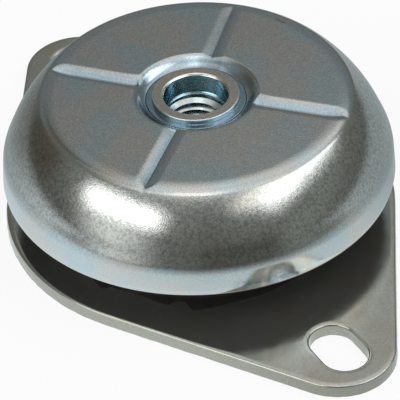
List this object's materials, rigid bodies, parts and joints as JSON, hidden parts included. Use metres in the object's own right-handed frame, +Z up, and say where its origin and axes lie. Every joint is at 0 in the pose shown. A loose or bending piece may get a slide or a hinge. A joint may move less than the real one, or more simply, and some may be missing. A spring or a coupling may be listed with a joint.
{
  "type": "anti-vibration bell mount",
  "caption": "Low steel bell on a rubber spring, with a threaded bush in its grooved top and a flat pointed base plate with slotted fixing holes.",
  "frame": {"origin": "centre of the base plate's underside, on the axis of the bell", "axes": "+Z up along the thread, +X along the base plate through both fixing slots"},
  "size_m": [0.1284, 0.0796, 0.0301],
  "materials": {
    "plate_zinc": "zinc plated, semi-gloss, rough sheared edge",
    "rubber": "moulded matt black rubber",
    "bell_zinc": "zinc plated pressed steel, fine grained",
    "bush_zinc": "turned and zinc plated, bright"
  },
  "bodies": {
    "base": {"base_plate": "plate_zinc", "rubber_body": "rubber"},
    "bell_top": {"bell": "bell_zinc", "threaded_bush": "bush_zinc"}
  },
  "joints": [
    {"name": "bell_bounce", "type": "slide", "parent": "base", "child": "bell_top", "axis": [0, 0, 1], "range_m": [-0.004, 0.001], "stiffness_N_per_m": 300000, "deforming": ["rubber_body"]}
  ]
}
